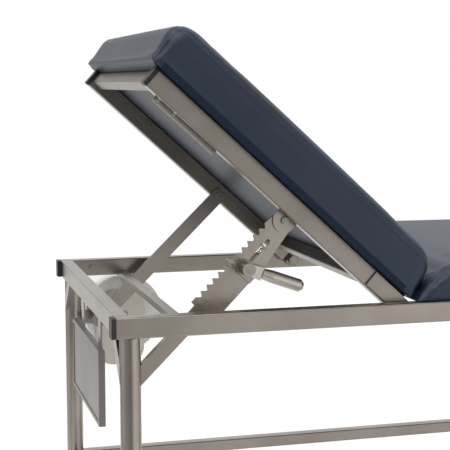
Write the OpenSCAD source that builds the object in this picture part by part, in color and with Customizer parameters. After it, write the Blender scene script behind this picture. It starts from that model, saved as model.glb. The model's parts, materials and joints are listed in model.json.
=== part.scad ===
// Examination table with a ratchet backrest, a far side stay and a paper roll.
// Lengths are millimetres and angles are degrees.
// Inside the modules X runs from the head end of the side rails to the foot end,
// Y from the near side to the far side, and Z up from the top of the side rails.

/* [Table] */
// Length of the steel side rails, head end to foot end
frame_length = 1880; // [1500:10:2200]
// Width over the outer faces of the side rails
frame_width = 690; // [550:10:800]
// Height of the top of the side rails above the floor
rail_top_height = 700; // [500:10:850]
// Height of the rail tube
rail_height = 35; // [25:1:50]
// Width of the rail tube
rail_width = 25; // [20:1:40]
// Wall of every steel tube
tube_wall = 1.5; // [1:0.1:3]
// Outer corner radius of the rectangular tubes
tube_corner = 2.5; // [1:0.5:4]
// Radial gap where a tube is notched round a leg
cope_gap = 0.15; // [0.05:0.05:0.5]
// Thickness of the plastic plug over a rail end
cap_thick = 8; // [3:1:15]
// Depth of the plug inside the tube
cap_plug = 15; // [5:1:30]
// Gap between a plug and the tube wall
plug_gap = 0.1; // [0.05:0.05:0.5]

/* [Legs and braces] */
// Diameter of the round legs
leg_dia = 35; // [25:1:50]
// Leg centre from the end of the side rail
leg_inset = 25.5; // [18:0.5:60]
// Diameter of the rubber foot
foot_dia = 41; // [30:1:60]
// Height of the rubber foot under the leg tube
foot_height = 16; // [8:1:40]
// Height the foot wraps up round the tube
foot_wrap = 22; // [5:1:40]
// Side of the square stretcher tube
stretcher_side = 25; // [15:1:40]
// Height of the stretcher top below the rail top
stretcher_drop = 422; // [200:1:600]
// Drop and reach of the outer edge of a corner brace
brace_outer = 97; // [50:1:150]
// Drop and reach of the inner edge of a corner brace
brace_inner = 63; // [20:1:100]
// Drop and reach of the outer edge of a brace under the head and foot rails
end_brace_outer = 80; // [50:1:120]
// Drop and reach of the inner edge of a brace under the head and foot rails
end_brace_inner = 45; // [20:1:80]
// Thickness of a corner brace across its plane
brace_deep = 15; // [8:1:25]

/* [Cross members] */
// Distance of the ratchet crossbar from the head end
crossbar_start = 121; // [80:1:200]
// Width of the ratchet crossbar
crossbar_width = 18; // [10:1:40]
// Drop of the ratchet crossbar top below the rail top
crossbar_drop = 26; // [10:1:30]
// Height of the ratchet crossbar
crossbar_height = 12; // [6:1:20]
// Side of the square seat cross tubes
seat_tube = 25; // [20:1:35]
// First seat cross tube from the head end
seat_tube_start = 640; // [580:10:700]

/* [Nameplate tray] */
// Width of the tray
tray_width = 316; // [200:2:400]
// Height of the tray
tray_height = 138; // [80:1:200]
// Depth of the folded rim
tray_depth = 12; // [6:1:25]
// Drop of the tray top below the rail top
tray_drop = 94; // [60:1:150]
// Sheet thickness of the tray
tray_sheet = 1.5; // [0.8:0.1:3]
// Width of the raised border round the tray face
tray_border = 7; // [3:1:15]
// Depth of the tray face behind its border
tray_recess = 1.5; // [0.5:0.5:4]
// Width of a tray hanger strap
hanger_width = 25; // [15:1:40]
// Thickness of a tray hanger strap
hanger_thick = 3; // [2:0.5:6]
// Half distance between the two hanger straps
hanger_half = 100; // [60:5:140]

/* [Backrest] */
// Backrest hinge from the head end
hinge_x = 520; // [450:5:600]
// Angle of the backrest above the level, at rest
back_angle = 42; // [4:1:48]
// Start of the backrest tube from the hinge
back_start = 28; // [24:1:60]
// End of the backrest tube from the hinge
back_end = 604; // [500:1:640]
// Gap between a backrest tube and the side rail
side_gap = 8; // [3:1:15]
// Thickness of the lower end plug of a backrest tube
back_low_cap = 9; // [4:1:11]
// Side of the backrest head cross tube
back_cross = 25; // [15:1:30]
// Lower cross tube of the backrest, from the hinge
back_low = 60; // [45:5:120]
// Thickness of the hinge plate
hinge_plate = 5; // [3:0.5:7]
// Radius of the hinge plate round the bolt
hinge_plate_radius = 14; // [10:1:18]
// Reach of the hinge plate up the tube
hinge_plate_length = 90; // [50:5:150]
// Radius of the hinge bolt shank
hinge_bolt_radius = 6; // [4:0.5:8]
// Radial running clearance of a hinge bolt
hinge_fit = 0.08; // [0.03:0.01:0.1]
// Radius of the hinge bolt head
hinge_head_radius = 10; // [8:0.5:13]
// Height of the hinge bolt head
hinge_head = 5; // [3:0.5:8]

/* [Upholstery] */
// Thickness of the plywood boards
board_thick = 10; // [6:1:18]
// Side inset of the boards from the pad sides
board_inset = 8; // [4:1:20]
// Height of the seat pad over the rails, without its crown
seat_pad_height = 88; // [60:1:120]
// Crown in the middle of the seat pad
seat_crown = 9; // [3:1:20]
// Seat pad start from the head end, at its lower edge
seat_start = 547; // [530:1:600]
// Slant of the head end of the seat pad
seat_slant = 27; // [0:1:60]
// Gap of the seat pad to the foot end of the rails
seat_foot_gap = 2; // [0:1:20]
// Height of the backrest pad over its tubes, without its crown
back_pad_height = 82; // [60:1:120]
// Crown in the middle of the backrest pad
back_crown = 8; // [3:1:20]
// Backrest pad start from the hinge
back_pad_start = 31; // [28:1:60]
// Backrest pad end past the tube
back_pad_over = 6; // [0:1:30]
// Rounding of the pad corners seen from above
pad_corner = 16; // [5:1:40]
// Depth the sides of a pad draw in along the seam
side_draw = 2.2; // [0:0.1:5]
// Gap between a pad and the board inside it
pad_gap = 0.3; // [0.1:0.1:1]
// Gap between a pad and the steel it rests on
rest_gap = 0.3; // [0.1:0.1:1]

/* [Ratchet strut] */
// Strut bolt along the backrest, from the hinge
strut_bolt_distance = 269; // [240:1:320]
// Strut bolt below the backrest tube centre line
strut_bolt_drop = 24.5; // [20:0.5:28]
// Angle of the strut above the level, at rest
strut_angle = 45.8; // [30:0.1:60]
// Thickness of the ear plate on the backrest tube
ear_thick = 3; // [2:0.5:5]
// Radius of the ear plate round its bolt
ear_radius = 21; // [15:1:30]
// Thickness of the toothed strut plates
plate_thick = 4; // [3:0.5:6]
// Gap between neighbouring strut plates
plate_gap = 0.4; // [0.2:0.1:1]
// Distance of the tooth tips from the strut line
tooth_side = 22; // [15:1:30]
// Distance of the plain edge from the strut line
plain_side = 31; // [20:1:40]
// Distance of the plain edge at the top of the upper plate
plain_top = 19; // [12:1:24]
// Length of the upper plate below its bolt
upper_length = 120; // [118:1:122]
// Start of the lower plate below the strut bolt
lower_start = 109; // [105:1:115]
// Distance of the lower bolt from the upper bolt
lower_bolt = 197; // [180:0.5:220]
// Length of the lower plate beyond its bolt
lower_tail = 14; // [10:1:20]
// Pitch of the ratchet teeth
tooth_pitch = 14.55; // [10:0.05:18]
// Depth of the ratchet teeth
tooth_depth = 6.6; // [4:0.1:9]
// First tooth below the upper bolt
tooth_start = 26; // [20:0.5:40]
// Number of teeth on the upper plate
upper_teeth = 7; // [4:1:10]
// Number of teeth on the lower plate
lower_teeth = 5; // [3:1:8]
// Start of the spring slot below the upper bolt
slot_start = 45; // [40:1:60]
// End of the spring slot below the upper bolt
slot_end = 96; // [80:1:105]
// Width of the spring slot
slot_width = 8; // [6:0.5:10]
// Sideways place of the slot on the strut
slot_side = 4.5; // [0:0.5:10]
// Radius of the strut bolts
strut_bolt_radius = 5; // [3:0.5:7]
// Radius of the strut bolt heads
strut_head_radius = 6.5; // [5.5:0.5:7]
// Height of the strut bolt head
strut_head = 4; // [2:0.5:6]
// Thickness of the lug under the lower bolt
lug_thick = 4; // [3:0.5:6]
// Radius of the lug round its hole
lug_radius = 13; // [9:1:18]

/* [Release lever] */
// Boss of the release lever below the upper bolt
boss_along = 106; // [100:1:112]
// Sideways place of the boss on the strut
boss_side = 3; // [0:0.5:8]
// Radius of the boss
boss_radius = 11.5; // [8:0.5:16]
// Length of the boss
boss_length = 31; // [20:1:31.3]
// Radius of the round washer plate behind the boss
disc_radius = 14.5; // [12:0.5:20]
// Thickness of the round washer plate
disc_thick = 3; // [2:0.5:5]
// Radius of the pin in the boss
boss_pin_radius = 6; // [4:0.5:8]
// Thickness of the pawl arm
pawl_thick = 5; // [3:0.5:8]
// Radius of the pawl nose bar
pawl_nose_radius = 2.6; // [2:0.1:4]
// Place of the pawl nose below the upper bolt
pawl_along = 114; // [108:1:118]
// Gap between the pawl nose and the tooth tips
pawl_gap = 0.3; // [0.1:0.1:1]
// Fall of the lever below the level, at rest
lever_fall = 19.5; // [0:0.5:40]
// Length of the lever from its pivot
lever_length = 106; // [70:1:140]
// Start of the round grip from the pivot
grip_start = 48; // [30:1:60]
// Radius of the round grip
grip_radius = 11; // [7:0.5:13]
// Thickness of the flattened lever neck
lever_flat = 12; // [6:0.5:18]

/* [Lever spring] */
// Radius of the spring wire
wire_radius = 0.6; // [0.4:0.1:1]
// Mean radius of the spring
spring_radius = 3; // [2:0.1:4]
// Curls of the spring
spring_curls = 9; // [5:1:14]
// Start of the spring below the upper bolt
spring_start = 60; // [56:1:66]
// End of the spring below the upper bolt
spring_end = 91; // [80:1:92]

/* [Far side stay] */
// Stay bolt along the backrest, from the hinge
stay_bolt_distance = 237; // [200:1:300]
// Stay bolt below the backrest tube centre line
stay_bolt_drop = 7; // [0:1:12]
// Angle of the stay above the level, at rest
stay_angle = 44.6; // [30:0.1:60]
// Width of the stay bar
stay_width = 30; // [18:1:40]
// Thickness of the stay bar
stay_thick = 4; // [3:0.5:6]
// Length of the stay between its bolt and its lower end centre
stay_length = 372; // [300:1:400]

/* [Paper roll] */
// Radius of the paper on its core
paper_radius = 84; // [50:1:88]
// Width of the paper
paper_width = 130; // [80:5:260]
// Roll axis from the head end
roll_x = 138; // [128:1:160]
// Roll axis below the rail top
roll_drop = 124; // [120:1:140]
// Outer radius of the roll core
core_radius = 23; // [15:1:30]
// Radius of the spindle
spindle_radius = 8; // [5:0.5:12]
// Radial running clearance of the core on the spindle
spindle_fit = 0.08; // [0.03:0.01:0.1]
// Thickness of the plate that carries the roll
bracket_thick = 4; // [3:0.5:6]
// Width of the roll plate
bracket_width = 107; // [80:1:130]
// Middle of the roll plate from the head end
bracket_x = 128; // [110:1:150]
// Height of the rounded part of the roll plate
bracket_height = 165; // [120:1:180]
// Drop of the rounded part below the rail top
bracket_drop = 71; // [50:1:90]
// Corner radius of the roll plate
bracket_corner = 38; // [10:1:39]
// Width of the neck that hangs the roll plate from the rail
neck_width = 26; // [15:1:40]
// Thickness of the retaining disc
keeper_thick = 3; // [2:0.5:6]
// Radius of the retaining disc
keeper_radius = 20; // [10:1:26]

/* [Screws] */
// Radius of a frame screw head
screw_head_radius = 6; // [4:0.5:8]
// Height of a frame screw head
screw_head = 3; // [2:0.5:5]
// Radius of a frame screw shank
screw_shank_radius = 2.5; // [1.5:0.5:4]
// Radial gap round a screw shank
screw_gap = 0.1; // [0.05:0.05:0.5]
// Distance of the frame screws from the rail ends
screw_inset = 65.6; // [45:0.1:110]

/* [Hidden] */
// Facets of a small round and of a large round
$fn = 48;
fine = 96;
// One overrun for every cut
eps = frame_length / 2000;
half_w = frame_width / 2;
inner_w = half_w - rail_width;
mid_z = -rail_height / 2;
leg_y = half_w - leg_dia / 2;
leg_low = -rail_top_height + foot_height;
back_outer = inner_w - side_gap;
back_inner = back_outer - rail_width;
back_mid_y = (back_outer + back_inner) / 2;
cross_mid = crossbar_start + crossbar_width / 2;
seat_tube_step = (frame_length - seat_tube_start - rail_width) / 3;
hinge_z = mid_z;
pad_over_q = rail_height / 2 + rest_gap;
back_pad_end = back_end + cap_thick + back_pad_over;
// Lanes of the strut, measured from the near face of the ear toward the far side
ear_y = -back_inner;
upper_y = ear_y + ear_thick + plate_gap;
lower_y = upper_y + plate_thick + plate_gap;
lug_y = lower_y + plate_thick + plate_gap;
disc_y = upper_y - disc_thick;
boss_y = disc_y - plate_gap;
boss_front = boss_y - boss_length;
pawl_side = tooth_side + pawl_gap + pawl_nose_radius;
lever_y = -back_mid_y;
// Places of the strut bolts in the table
strut_x = hinge_x - strut_bolt_distance * cos(back_angle) - strut_bolt_drop * sin(back_angle);
strut_z = hinge_z + strut_bolt_distance * sin(back_angle) - strut_bolt_drop * cos(back_angle);
lug_x = strut_x - lower_bolt * cos(strut_angle);
lug_z = strut_z - lower_bolt * sin(strut_angle);
boss_x = strut_x - boss_along * cos(strut_angle) + boss_side * sin(strut_angle);
boss_z = strut_z - boss_along * sin(strut_angle) - boss_side * cos(strut_angle);
// Place of the stay bolt and of its lower end
stay_x = hinge_x - stay_bolt_distance * cos(back_angle) - stay_bolt_drop * sin(back_angle);
stay_z = hinge_z + stay_bolt_distance * sin(back_angle) - stay_bolt_drop * cos(back_angle);
stay_y = back_inner - plate_gap - stay_thick;
stay_end_x = stay_x - stay_length * cos(stay_angle);
stay_end_z = stay_z - stay_length * sin(stay_angle);
// Roll lanes
bracket_y = half_w - rail_width / 2 - bracket_thick / 2;
paper_y = bracket_y + bracket_thick + plate_gap * 4;
neck_x = bracket_x + bracket_width / 4;
roll_end = paper_y + paper_width + plate_gap + keeper_thick;
// Middle of the whole width, between the near feet and the end of the roll
middle_y = (roll_end - half_w - (foot_dia - leg_dia) / 2) / 2;
// Shares of one tooth: along the pitch and into the depth
tooth_shares = [[-0.10, 0], [0.08, 0], [0.13, 0.3], [0.24, 0.72], [0.36, 1], [0.5, 1],
  [0.62, 0.76], [0.78, 0.34], [0.86, 0.08]];
// Shares of a pad profile: inset in corner radii and height
pad_shares = [[0.55, 0], [0.18, 0.03], [0.02, 0.10], [0, 0.2], [0.06, 0.46], [0.10, 0.52], [0.04, 0.6],
  [0, 0.78], [0.10, 0.9], [0.38, 0.97], [0.8, 1]];
crown_shares = [[0.10, 0.28], [0.24, 0.58], [0.42, 0.82], [0.62, 0.95], [0.82, 1]];
steel = [0.62, 0.59, 0.56];
zinc = [0.7, 0.69, 0.67];
plastic = [0.1, 0.1, 0.11];
vinyl = [0.2, 0.24, 0.3];
paper = [0.9, 0.89, 0.87];

module place() { translate([-frame_length / 2, -middle_y, rail_top_height]) children(); }

// Put things written along the backrest: X up the tube from the hinge, Z toward the pad
module on_back() {
  translate([hinge_x, 0, hinge_z]) rotate([0, back_angle, 0]) mirror([1, 0, 0]) children();
}

// Put things written along the strut: X down the strut from its bolt, Z toward the plain edge
module on_strut() {
  translate([strut_x, 0, strut_z]) rotate([0, -strut_angle, 0]) rotate([0, 180, 0]) children();
}

module sides() { children(); mirror([0, 1, 0]) children(); }
module ends() { children(); translate([frame_length, 0, 0]) mirror([1, 0, 0]) children(); }

module soft_rect(a, b, r) {
  translate([r, 0]) square([a - 2 * r, b]);
  translate([0, r]) square([a, b - 2 * r]);
  for (x = [r, a - r], y = [r, b - r]) translate([x, y]) circle(r);
}

module tube_face(a, b) {
  difference() {
    soft_rect(a, b, tube_corner);
    translate([tube_wall, tube_wall])
      soft_rect(a - 2 * tube_wall, b - 2 * tube_wall, tube_corner - tube_wall);
  }
}

// Tube along X: starts at the origin, width along Y and height along Z
module tube_x(len, w, h) {
  rotate([90, 0, 90]) linear_extrude(len) tube_face(w, h);
}

// Tube along Y: starts at the origin, width along X and height along Z
module tube_y(len, w, h) {
  translate([0, len, 0]) rotate([90, 0, 0]) linear_extrude(len) tube_face(w, h);
}

module rod_y(y, len, r) { translate([0, y + len, 0]) rotate([90, 0, 0]) cylinder(h = len, r = r); }

// Flat plate in the XZ plane, from y, with the given outline
module plate_y(y, len) { translate([0, y + len, 0]) rotate([90, 0, 0]) linear_extrude(len) children(); }

module side_rail() {
  difference() {
    translate([0, -half_w, -rail_height]) tube_x(frame_length, rail_width, rail_height);
    for (x = [screw_inset, frame_length - screw_inset]) translate([x, 0, mid_z])
      rod_y(-inner_w - tube_wall - eps, tube_wall + 2 * eps, screw_shank_radius + screw_gap);
  }
}

module near_side_rail() color(steel) place() side_rail();
module far_side_rail() color(steel) place() mirror([0, 1, 0]) side_rail();

module head_cross_rail() color(steel) place()
  translate([0, -inner_w, -rail_height]) tube_y(2 * inner_w, rail_width, rail_height);

module foot_cross_rail() color(steel) place()
  translate([frame_length - rail_width, -inner_w, -rail_height])
    tube_y(2 * inner_w, rail_width, rail_height);

// Plug along X with its outer face at -thick and its collar against the tube end at 0
module plug(w, h, thick) {
  gap = tube_wall + plug_gap;
  rotate([90, 0, 90]) translate([0, 0, -thick]) linear_extrude(thick) soft_rect(w, h, tube_corner);
  rotate([90, 0, 90]) translate([gap, gap, 0]) linear_extrude(cap_plug)
    soft_rect(w - 2 * gap, h - 2 * gap, tube_corner - tube_wall);
}

module rail_end_plugs() color(plastic) place() ends() sides()
  translate([0, -half_w, -rail_height]) plug(rail_width, rail_height, cap_thick);

module ratchet_crossbar() color(steel) place()
  translate([crossbar_start, -inner_w, -crossbar_drop - crossbar_height])
    cube([crossbar_width, 2 * inner_w, crossbar_height]);

module seat_cross_tubes() color(steel) place() difference() {
  for (i = [0:2]) translate([seat_tube_start + i * seat_tube_step, -inner_w, -seat_tube])
    tube_y(2 * inner_w, seat_tube, seat_tube);
  seat_screw_spots() translate([0, 0, -seat_tube - eps])
    cylinder(h = seat_tube + 2 * eps, r = screw_shank_radius + screw_gap);
}

module seat_screw_spots() {
  for (i = [0:2], s = [-1, 1])
    translate([seat_tube_start + i * seat_tube_step + seat_tube / 2, s * hanger_half * 2, 0]) children();
}

module leg_spots() { ends() sides() translate([leg_inset, -leg_y, 0]) children(); }

module legs() color(steel) place() leg_spots() difference() {
  translate([0, 0, leg_low]) cylinder(h = -rail_height - leg_low, d = leg_dia, $fn = fine);
  translate([0, 0, leg_low - eps])
    cylinder(h = -rail_height - leg_low - tube_wall + eps, d = leg_dia - 2 * tube_wall, $fn = fine);
}

module leg_feet() color(plastic) place() leg_spots() difference() {
  translate([0, 0, -rail_top_height]) union() {
    cylinder(h = foot_height / 4, d1 = foot_dia - foot_height / 4, d2 = foot_dia, $fn = fine);
    translate([0, 0, foot_height / 4])
      cylinder(h = foot_height * 3 / 4 + foot_wrap, d = foot_dia, $fn = fine);
  }
  translate([0, 0, leg_low]) cylinder(h = foot_wrap + eps, d = leg_dia + 2 * cope_gap, $fn = fine);
}

// Corner brace outline: X away from the leg, Y is height below the rail
module brace_face(start, outer, inner) {
  w = tube_wall * sqrt(2);
  difference() {
    brace_solid(start, outer, inner);
    polygon([[start - eps, -outer - rail_height + w - eps],
      [start - eps, -inner - rail_height - w - eps],
      [start + inner + w + eps, -rail_height + eps],
      [start + outer + eps - w, -rail_height + eps]]);
  }
}

module brace_solid(start, outer, inner) {
  polygon([[start, -outer - rail_height], [start, -inner - rail_height],
    [start + inner, -rail_height], [start + outer, -rail_height]]);
}

module leg_hole() {
  translate([leg_inset, -leg_y, -rail_top_height])
    cylinder(h = rail_top_height, r = leg_dia / 2 + cope_gap, $fn = fine);
}

module brace_tube(y, outer, inner) {
  plate_y(y, tube_wall) brace_solid(leg_inset, outer, inner);
  plate_y(y + brace_deep - tube_wall, tube_wall) brace_solid(leg_inset, outer, inner);
  plate_y(y, brace_deep) brace_face(leg_inset, outer, inner);
}

module near_head_brace() difference() {
  brace_tube(-leg_y - brace_deep / 2, brace_outer, brace_inner);
  leg_hole();
}

// The far head corner has no long brace: the roll hangs there
module leg_braces() color(steel) place() {
  ends() near_head_brace();
  translate([frame_length, 0, 0]) mirror([1, 0, 0]) mirror([0, 1, 0]) near_head_brace();
}

module head_end_braces() color(steel) place() ends() sides() difference() {
  translate([(rail_width + brace_deep) / 2 + tube_corner, -leg_y - leg_inset, 0])
    rotate([0, 0, 90]) brace_tube(0, end_brace_outer, end_brace_inner);
  leg_hole();
}

module long_stretchers() color(steel) place() sides() difference() {
  translate([leg_inset, -leg_y - stretcher_side / 2, -stretcher_drop - stretcher_side])
    tube_x(frame_length - 2 * leg_inset, stretcher_side, stretcher_side);
  leg_hole();
  translate([frame_length, 0, 0]) mirror([1, 0, 0]) leg_hole();
}

module end_stretchers() color(steel) place() ends() difference() {
  translate([leg_inset - stretcher_side / 2, -leg_y, -stretcher_drop - stretcher_side])
    tube_y(2 * leg_y, stretcher_side, stretcher_side);
  leg_hole();
  mirror([0, 1, 0]) leg_hole();
}

// Round head screw along Y: head toward the middle of the table, underside at y
module screw_in(y, shank) {
  rod_y(y, screw_head, screw_head_radius);
  rod_y(y - shank, shank + eps, screw_shank_radius);
}

module frame_screws() color(zinc) place() sides()
  for (x = [screw_inset, frame_length - screw_inset])
    translate([x, 0, mid_z]) screw_in(-inner_w, rail_width / 3);

module nameplate_tray() color(steel) place() translate([0, 0, -tray_drop - tray_height]) {
  difference() {
    translate([0, -tray_width / 2, 0]) cube([tray_depth, tray_width, tray_height]);
    translate([tray_recess + tray_sheet, -tray_width / 2 + tray_sheet, tray_sheet])
      cube([tray_depth, tray_width - 2 * tray_sheet, tray_height - 2 * tray_sheet]);
    translate([-tray_depth + tray_recess, -tray_width / 2 + tray_border, tray_border])
      cube([tray_depth, tray_width - 2 * tray_border, tray_height - 2 * tray_border]);
  }
}

module nameplate_hangers() color(steel) place() sides()
  translate([tray_depth, hanger_half - hanger_width / 2, -tray_drop - tray_height])
    cube([hanger_thick, hanger_width, tray_drop + tray_height - rail_height]);

module hinge_bolts() color(zinc) place() sides() translate([hinge_x, 0, hinge_z]) {
  rod_y(-inner_w, side_gap, hinge_bolt_radius);
  rod_y(-back_outer + plate_gap / 2, hinge_head, hinge_head_radius);
  rod_y(-inner_w, side_gap + plate_gap, hinge_bolt_radius);
}

module ratchet_lug() color(steel) place() plate_y(lug_y, lug_thick) difference() {
  union() {
    translate([lug_x, lug_z]) circle(lug_radius);
    polygon([[crossbar_start, -crossbar_drop], [cross_mid + crossbar_width / 2, -crossbar_drop],
      [lug_x + lug_radius * sin(strut_angle), lug_z - lug_radius * cos(strut_angle)],
      [lug_x - lug_radius * sin(strut_angle), lug_z + lug_radius * cos(strut_angle)]]);
  }
  translate([lug_x, lug_z]) circle(strut_bolt_radius + hinge_fit);
}

// Plate on the far leg with the stud that the stay rests against
module stay_rest_stud() color(zinc) place() difference() {
  union() {
    translate([stay_end_x, 0, stay_end_z])
      rod_y(stay_y + stay_thick + plate_gap, leg_y - stay_y - stay_thick - plate_gap, strut_bolt_radius);
    translate([leg_inset, leg_y - brace_deep / 4, stay_end_z - stay_width / 2])
      cube([stay_end_x - leg_inset + 2 * strut_bolt_radius, brace_deep / 3, stay_width]);
  }
  mirror([0, 1, 0]) leg_hole();
}

// Plate that hangs under the far rail with a rounded part in front of the roll
module roll_bracket() color(steel) place() plate_y(bracket_y, bracket_thick) difference() {
  union() {
    translate([bracket_x - bracket_width / 2 + bracket_corner, -bracket_drop - bracket_height + bracket_corner])
      offset(bracket_corner)
        square([bracket_width - 2 * bracket_corner, bracket_height - 2 * bracket_corner]);
    translate([neck_x - neck_width / 2, -roll_drop])
      square([neck_width, roll_drop - rail_height]);
  }
  translate([roll_x, -roll_drop]) circle(spindle_radius);
}

module roll_spindle() color(zinc) place() translate([roll_x, 0, -roll_drop])
  rod_y(bracket_y, bracket_thick + plate_gap * 5 + paper_width, spindle_radius);

module roll_keeper() color(paper) place() translate([roll_x, 0, -roll_drop])
  rod_y(paper_y + paper_width + plate_gap, keeper_thick, keeper_radius);

module roll_core() color(paper) place() translate([roll_x, 0, -roll_drop]) difference() {
  rod_y(paper_y, paper_width, core_radius);
  rod_y(paper_y - eps, paper_width + 2 * eps, spindle_radius + spindle_fit);
}

module paper_roll() color(paper) place() translate([roll_x, 0, -roll_drop]) difference() {
  translate([0, paper_y + paper_width, 0]) rotate([90, 0, 0])
    cylinder(h = paper_width, r = paper_radius, $fn = fine);
  rod_y(paper_y - eps, paper_width + 2 * eps, core_radius + spindle_fit);
}

// Crowned pad: l long from the origin, w wide about the X axis, h high, with a crown over it
function ring(l, w, inset, r, n) = [for (k = [0:3], i = [0:n])
  let (a = k * 90 + i * 90 / n, q = max(r - inset, r / 4),
    cx = (k == 0 || k == 3) ? l - inset - q : inset + q,
    cy = (k < 2) ? w / 2 - inset - q : -w / 2 + inset + q)
  [cx + q * cos(a), cy + q * sin(a)]];

module pad_form(l, w, h, crown, slant) {
  n = 6;
  m = 4 * (n + 1);
  low = [for (s = pad_shares)
    [for (p = ring(l, w, s[0] * pad_corner + side_at(s[1]), pad_corner, n))
      [p[0] + slant * s[1] * (1 - p[0] / l), p[1], s[1] * h]]];
  top = [for (s = crown_shares)
    [for (p = ring(l, w, pad_corner * 0.8 + s[0] * w / 2 * 0.9, pad_corner, n))
      [p[0] + slant * (1 - p[0] / l), p[1], h + s[1] * crown]]];
  rings = concat(low, top);
  t = len(rings);
  pts = [for (r = rings) each r];
  polyhedron(points = pts, faces = concat(
    [[for (i = [0:m - 1]) i]],
    [for (k = [0:t - 2], i = [0:m - 1]) let (a = k * m + i, b = k * m + (i + 1) % m)
      [a, a + m, b]],
    [for (k = [0:t - 2], i = [0:m - 1]) let (a = k * m + i, b = k * m + (i + 1) % m)
      [b, a + m, b + m]],
    [[for (i = [m - 1:-1:0]) (t - 1) * m + i]]));
}

function side_at(share) = (share > 0.4 && share < 0.55) ? side_draw : 0;

module seat_board() color(vinyl) place() difference() {
  translate([seat_start + board_inset, -half_w + board_inset, rest_gap])
    cube([seat_len() - 2 * board_inset, frame_width - 2 * board_inset, board_thick]);
  seat_screw_spots() translate([0, 0, -eps])
    cylinder(h = board_thick * 4 / 5 + eps, r = screw_shank_radius + screw_gap);
}

function seat_len() = frame_length - seat_foot_gap - seat_start;

module seat_pad() color(vinyl) place() difference() {
  translate([seat_start, 0, rest_gap]) pad_form(seat_len(), frame_width, seat_pad_height, seat_crown, seat_slant);
  translate([seat_start + board_inset - pad_gap, -half_w + board_inset - pad_gap, -eps])
    cube([seat_len() - 2 * board_inset + 2 * pad_gap, frame_width - 2 * board_inset + 2 * pad_gap,
      board_thick + rest_gap + pad_gap + eps]);
}

module seat_board_screws() color(zinc) place() seat_screw_spots() {
  translate([0, 0, -seat_tube - screw_head]) cylinder(h = screw_head, r = screw_head_radius);
  translate([0, 0, -seat_tube - eps])
    cylinder(h = seat_tube + board_thick * 3 / 4 + eps, r = screw_shank_radius);
}

module backrest_rail() {
  difference() {
    translate([back_start, -back_outer, -rail_height / 2])
      tube_x(back_end - back_start, rail_width, rail_height);
    translate([back_end - screw_inset / 1.5, 0, 0])
      rod_y(-back_inner - tube_wall - eps, tube_wall + 2 * eps, screw_shank_radius + screw_gap);
  }
}

module near_backrest_rail() color(steel) place() on_back() backrest_rail();
module far_backrest_rail() color(steel) place() on_back() mirror([0, 1, 0]) backrest_rail();

module backrest_head_tube() color(steel) place() on_back()
  translate([back_end - back_cross, -back_inner, rail_height / 2 - back_cross])
    tube_y(2 * back_inner, back_cross, back_cross);

module backrest_lower_tube() color(steel) place() on_back()
  translate([back_low, -back_inner, rail_height / 2 - back_cross])
    tube_y(2 * back_inner, back_cross, back_cross);

module backrest_end_plugs() color(plastic) place() on_back() sides() {
  translate([back_start, -back_outer, -rail_height / 2]) plug(rail_width, rail_height, back_low_cap);
  translate([back_end, -back_outer, -rail_height / 2]) mirror([1, 0, 0])
    plug(rail_width, rail_height, cap_thick);
}

module backrest_hinge_plates() color(steel) place() on_back() sides()
  plate_y(-back_outer - hinge_plate, hinge_plate) difference() {
    union() {
      circle(hinge_plate_radius);
      translate([0, -hinge_plate_radius]) square([hinge_plate_length, 2 * hinge_plate_radius]);
    }
    circle(hinge_bolt_radius + hinge_fit);
  }

module backrest_board() color(vinyl) place() on_back()
  translate([back_pad_start + board_inset, -half_w + board_inset, pad_over_q])
    cube([back_pad_end - back_pad_start - 2 * board_inset, frame_width - 2 * board_inset, board_thick]);

module backrest_pad() color(vinyl) place() on_back() difference() {
  translate([back_pad_start, 0, pad_over_q])
    pad_form(back_pad_end - back_pad_start, frame_width, back_pad_height, back_crown, 0);
  translate([back_pad_start + board_inset - pad_gap, -half_w + board_inset - pad_gap, rail_height / 2 - eps])
    cube([back_pad_end - back_pad_start - 2 * board_inset + 2 * pad_gap,
      frame_width - 2 * board_inset + 2 * pad_gap, board_thick + rest_gap + pad_gap + eps]);
}

// Flat strip on the inner face of the near backrest tube, with two slots below the tube
module backrest_stiffener() color(steel) place() on_back() plate_y(-back_inner, ear_thick) difference() {
  translate([back_end - screw_inset * 2.5, -rail_height / 2 - tube_corner * 3])
    square([screw_inset * 2.5 - back_cross, rail_height / 2]);
  for (i = [0, 1]) translate([back_end - back_cross - tube_corner * 4 - i * rail_height, 0])
    for (j = [0:2]) translate([j * tube_corner / 2, -rail_height / 2 - tube_corner * 1.5])
      circle(tube_corner * 0.8);
}

module backrest_screws() color(zinc) place() on_back() mirror([0, 1, 0])
  translate([back_end - screw_inset / 1.5, 0, 0]) screw_in(-back_inner, rail_width / 3);

module ratchet_ear() color(steel) place() on_back() plate_y(ear_y, ear_thick)
  translate([strut_bolt_distance, -strut_bolt_drop]) difference() {
    union() {
      circle(ear_radius, $fn = fine);
      translate([-ear_radius, 0]) square([2 * ear_radius, strut_bolt_drop + rail_height / 4]);
    }
    circle(strut_bolt_radius + hinge_fit);
  }

module strut_upper_bolt() color(zinc) place() translate([strut_x, 0, strut_z]) {
  rod_y(ear_y - strut_head, strut_head, strut_head_radius);
  rod_y(ear_y - eps, ear_thick + plate_gap + plate_thick + eps, strut_bolt_radius);
}

// Toothed edge points from s to the last tooth, along the strut
function teeth(first, count) = [for (i = [0:count - 1], s = tooth_shares)
  [first + i * tooth_pitch + s[0] * tooth_pitch, -tooth_side + s[1] * tooth_depth]];

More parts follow.
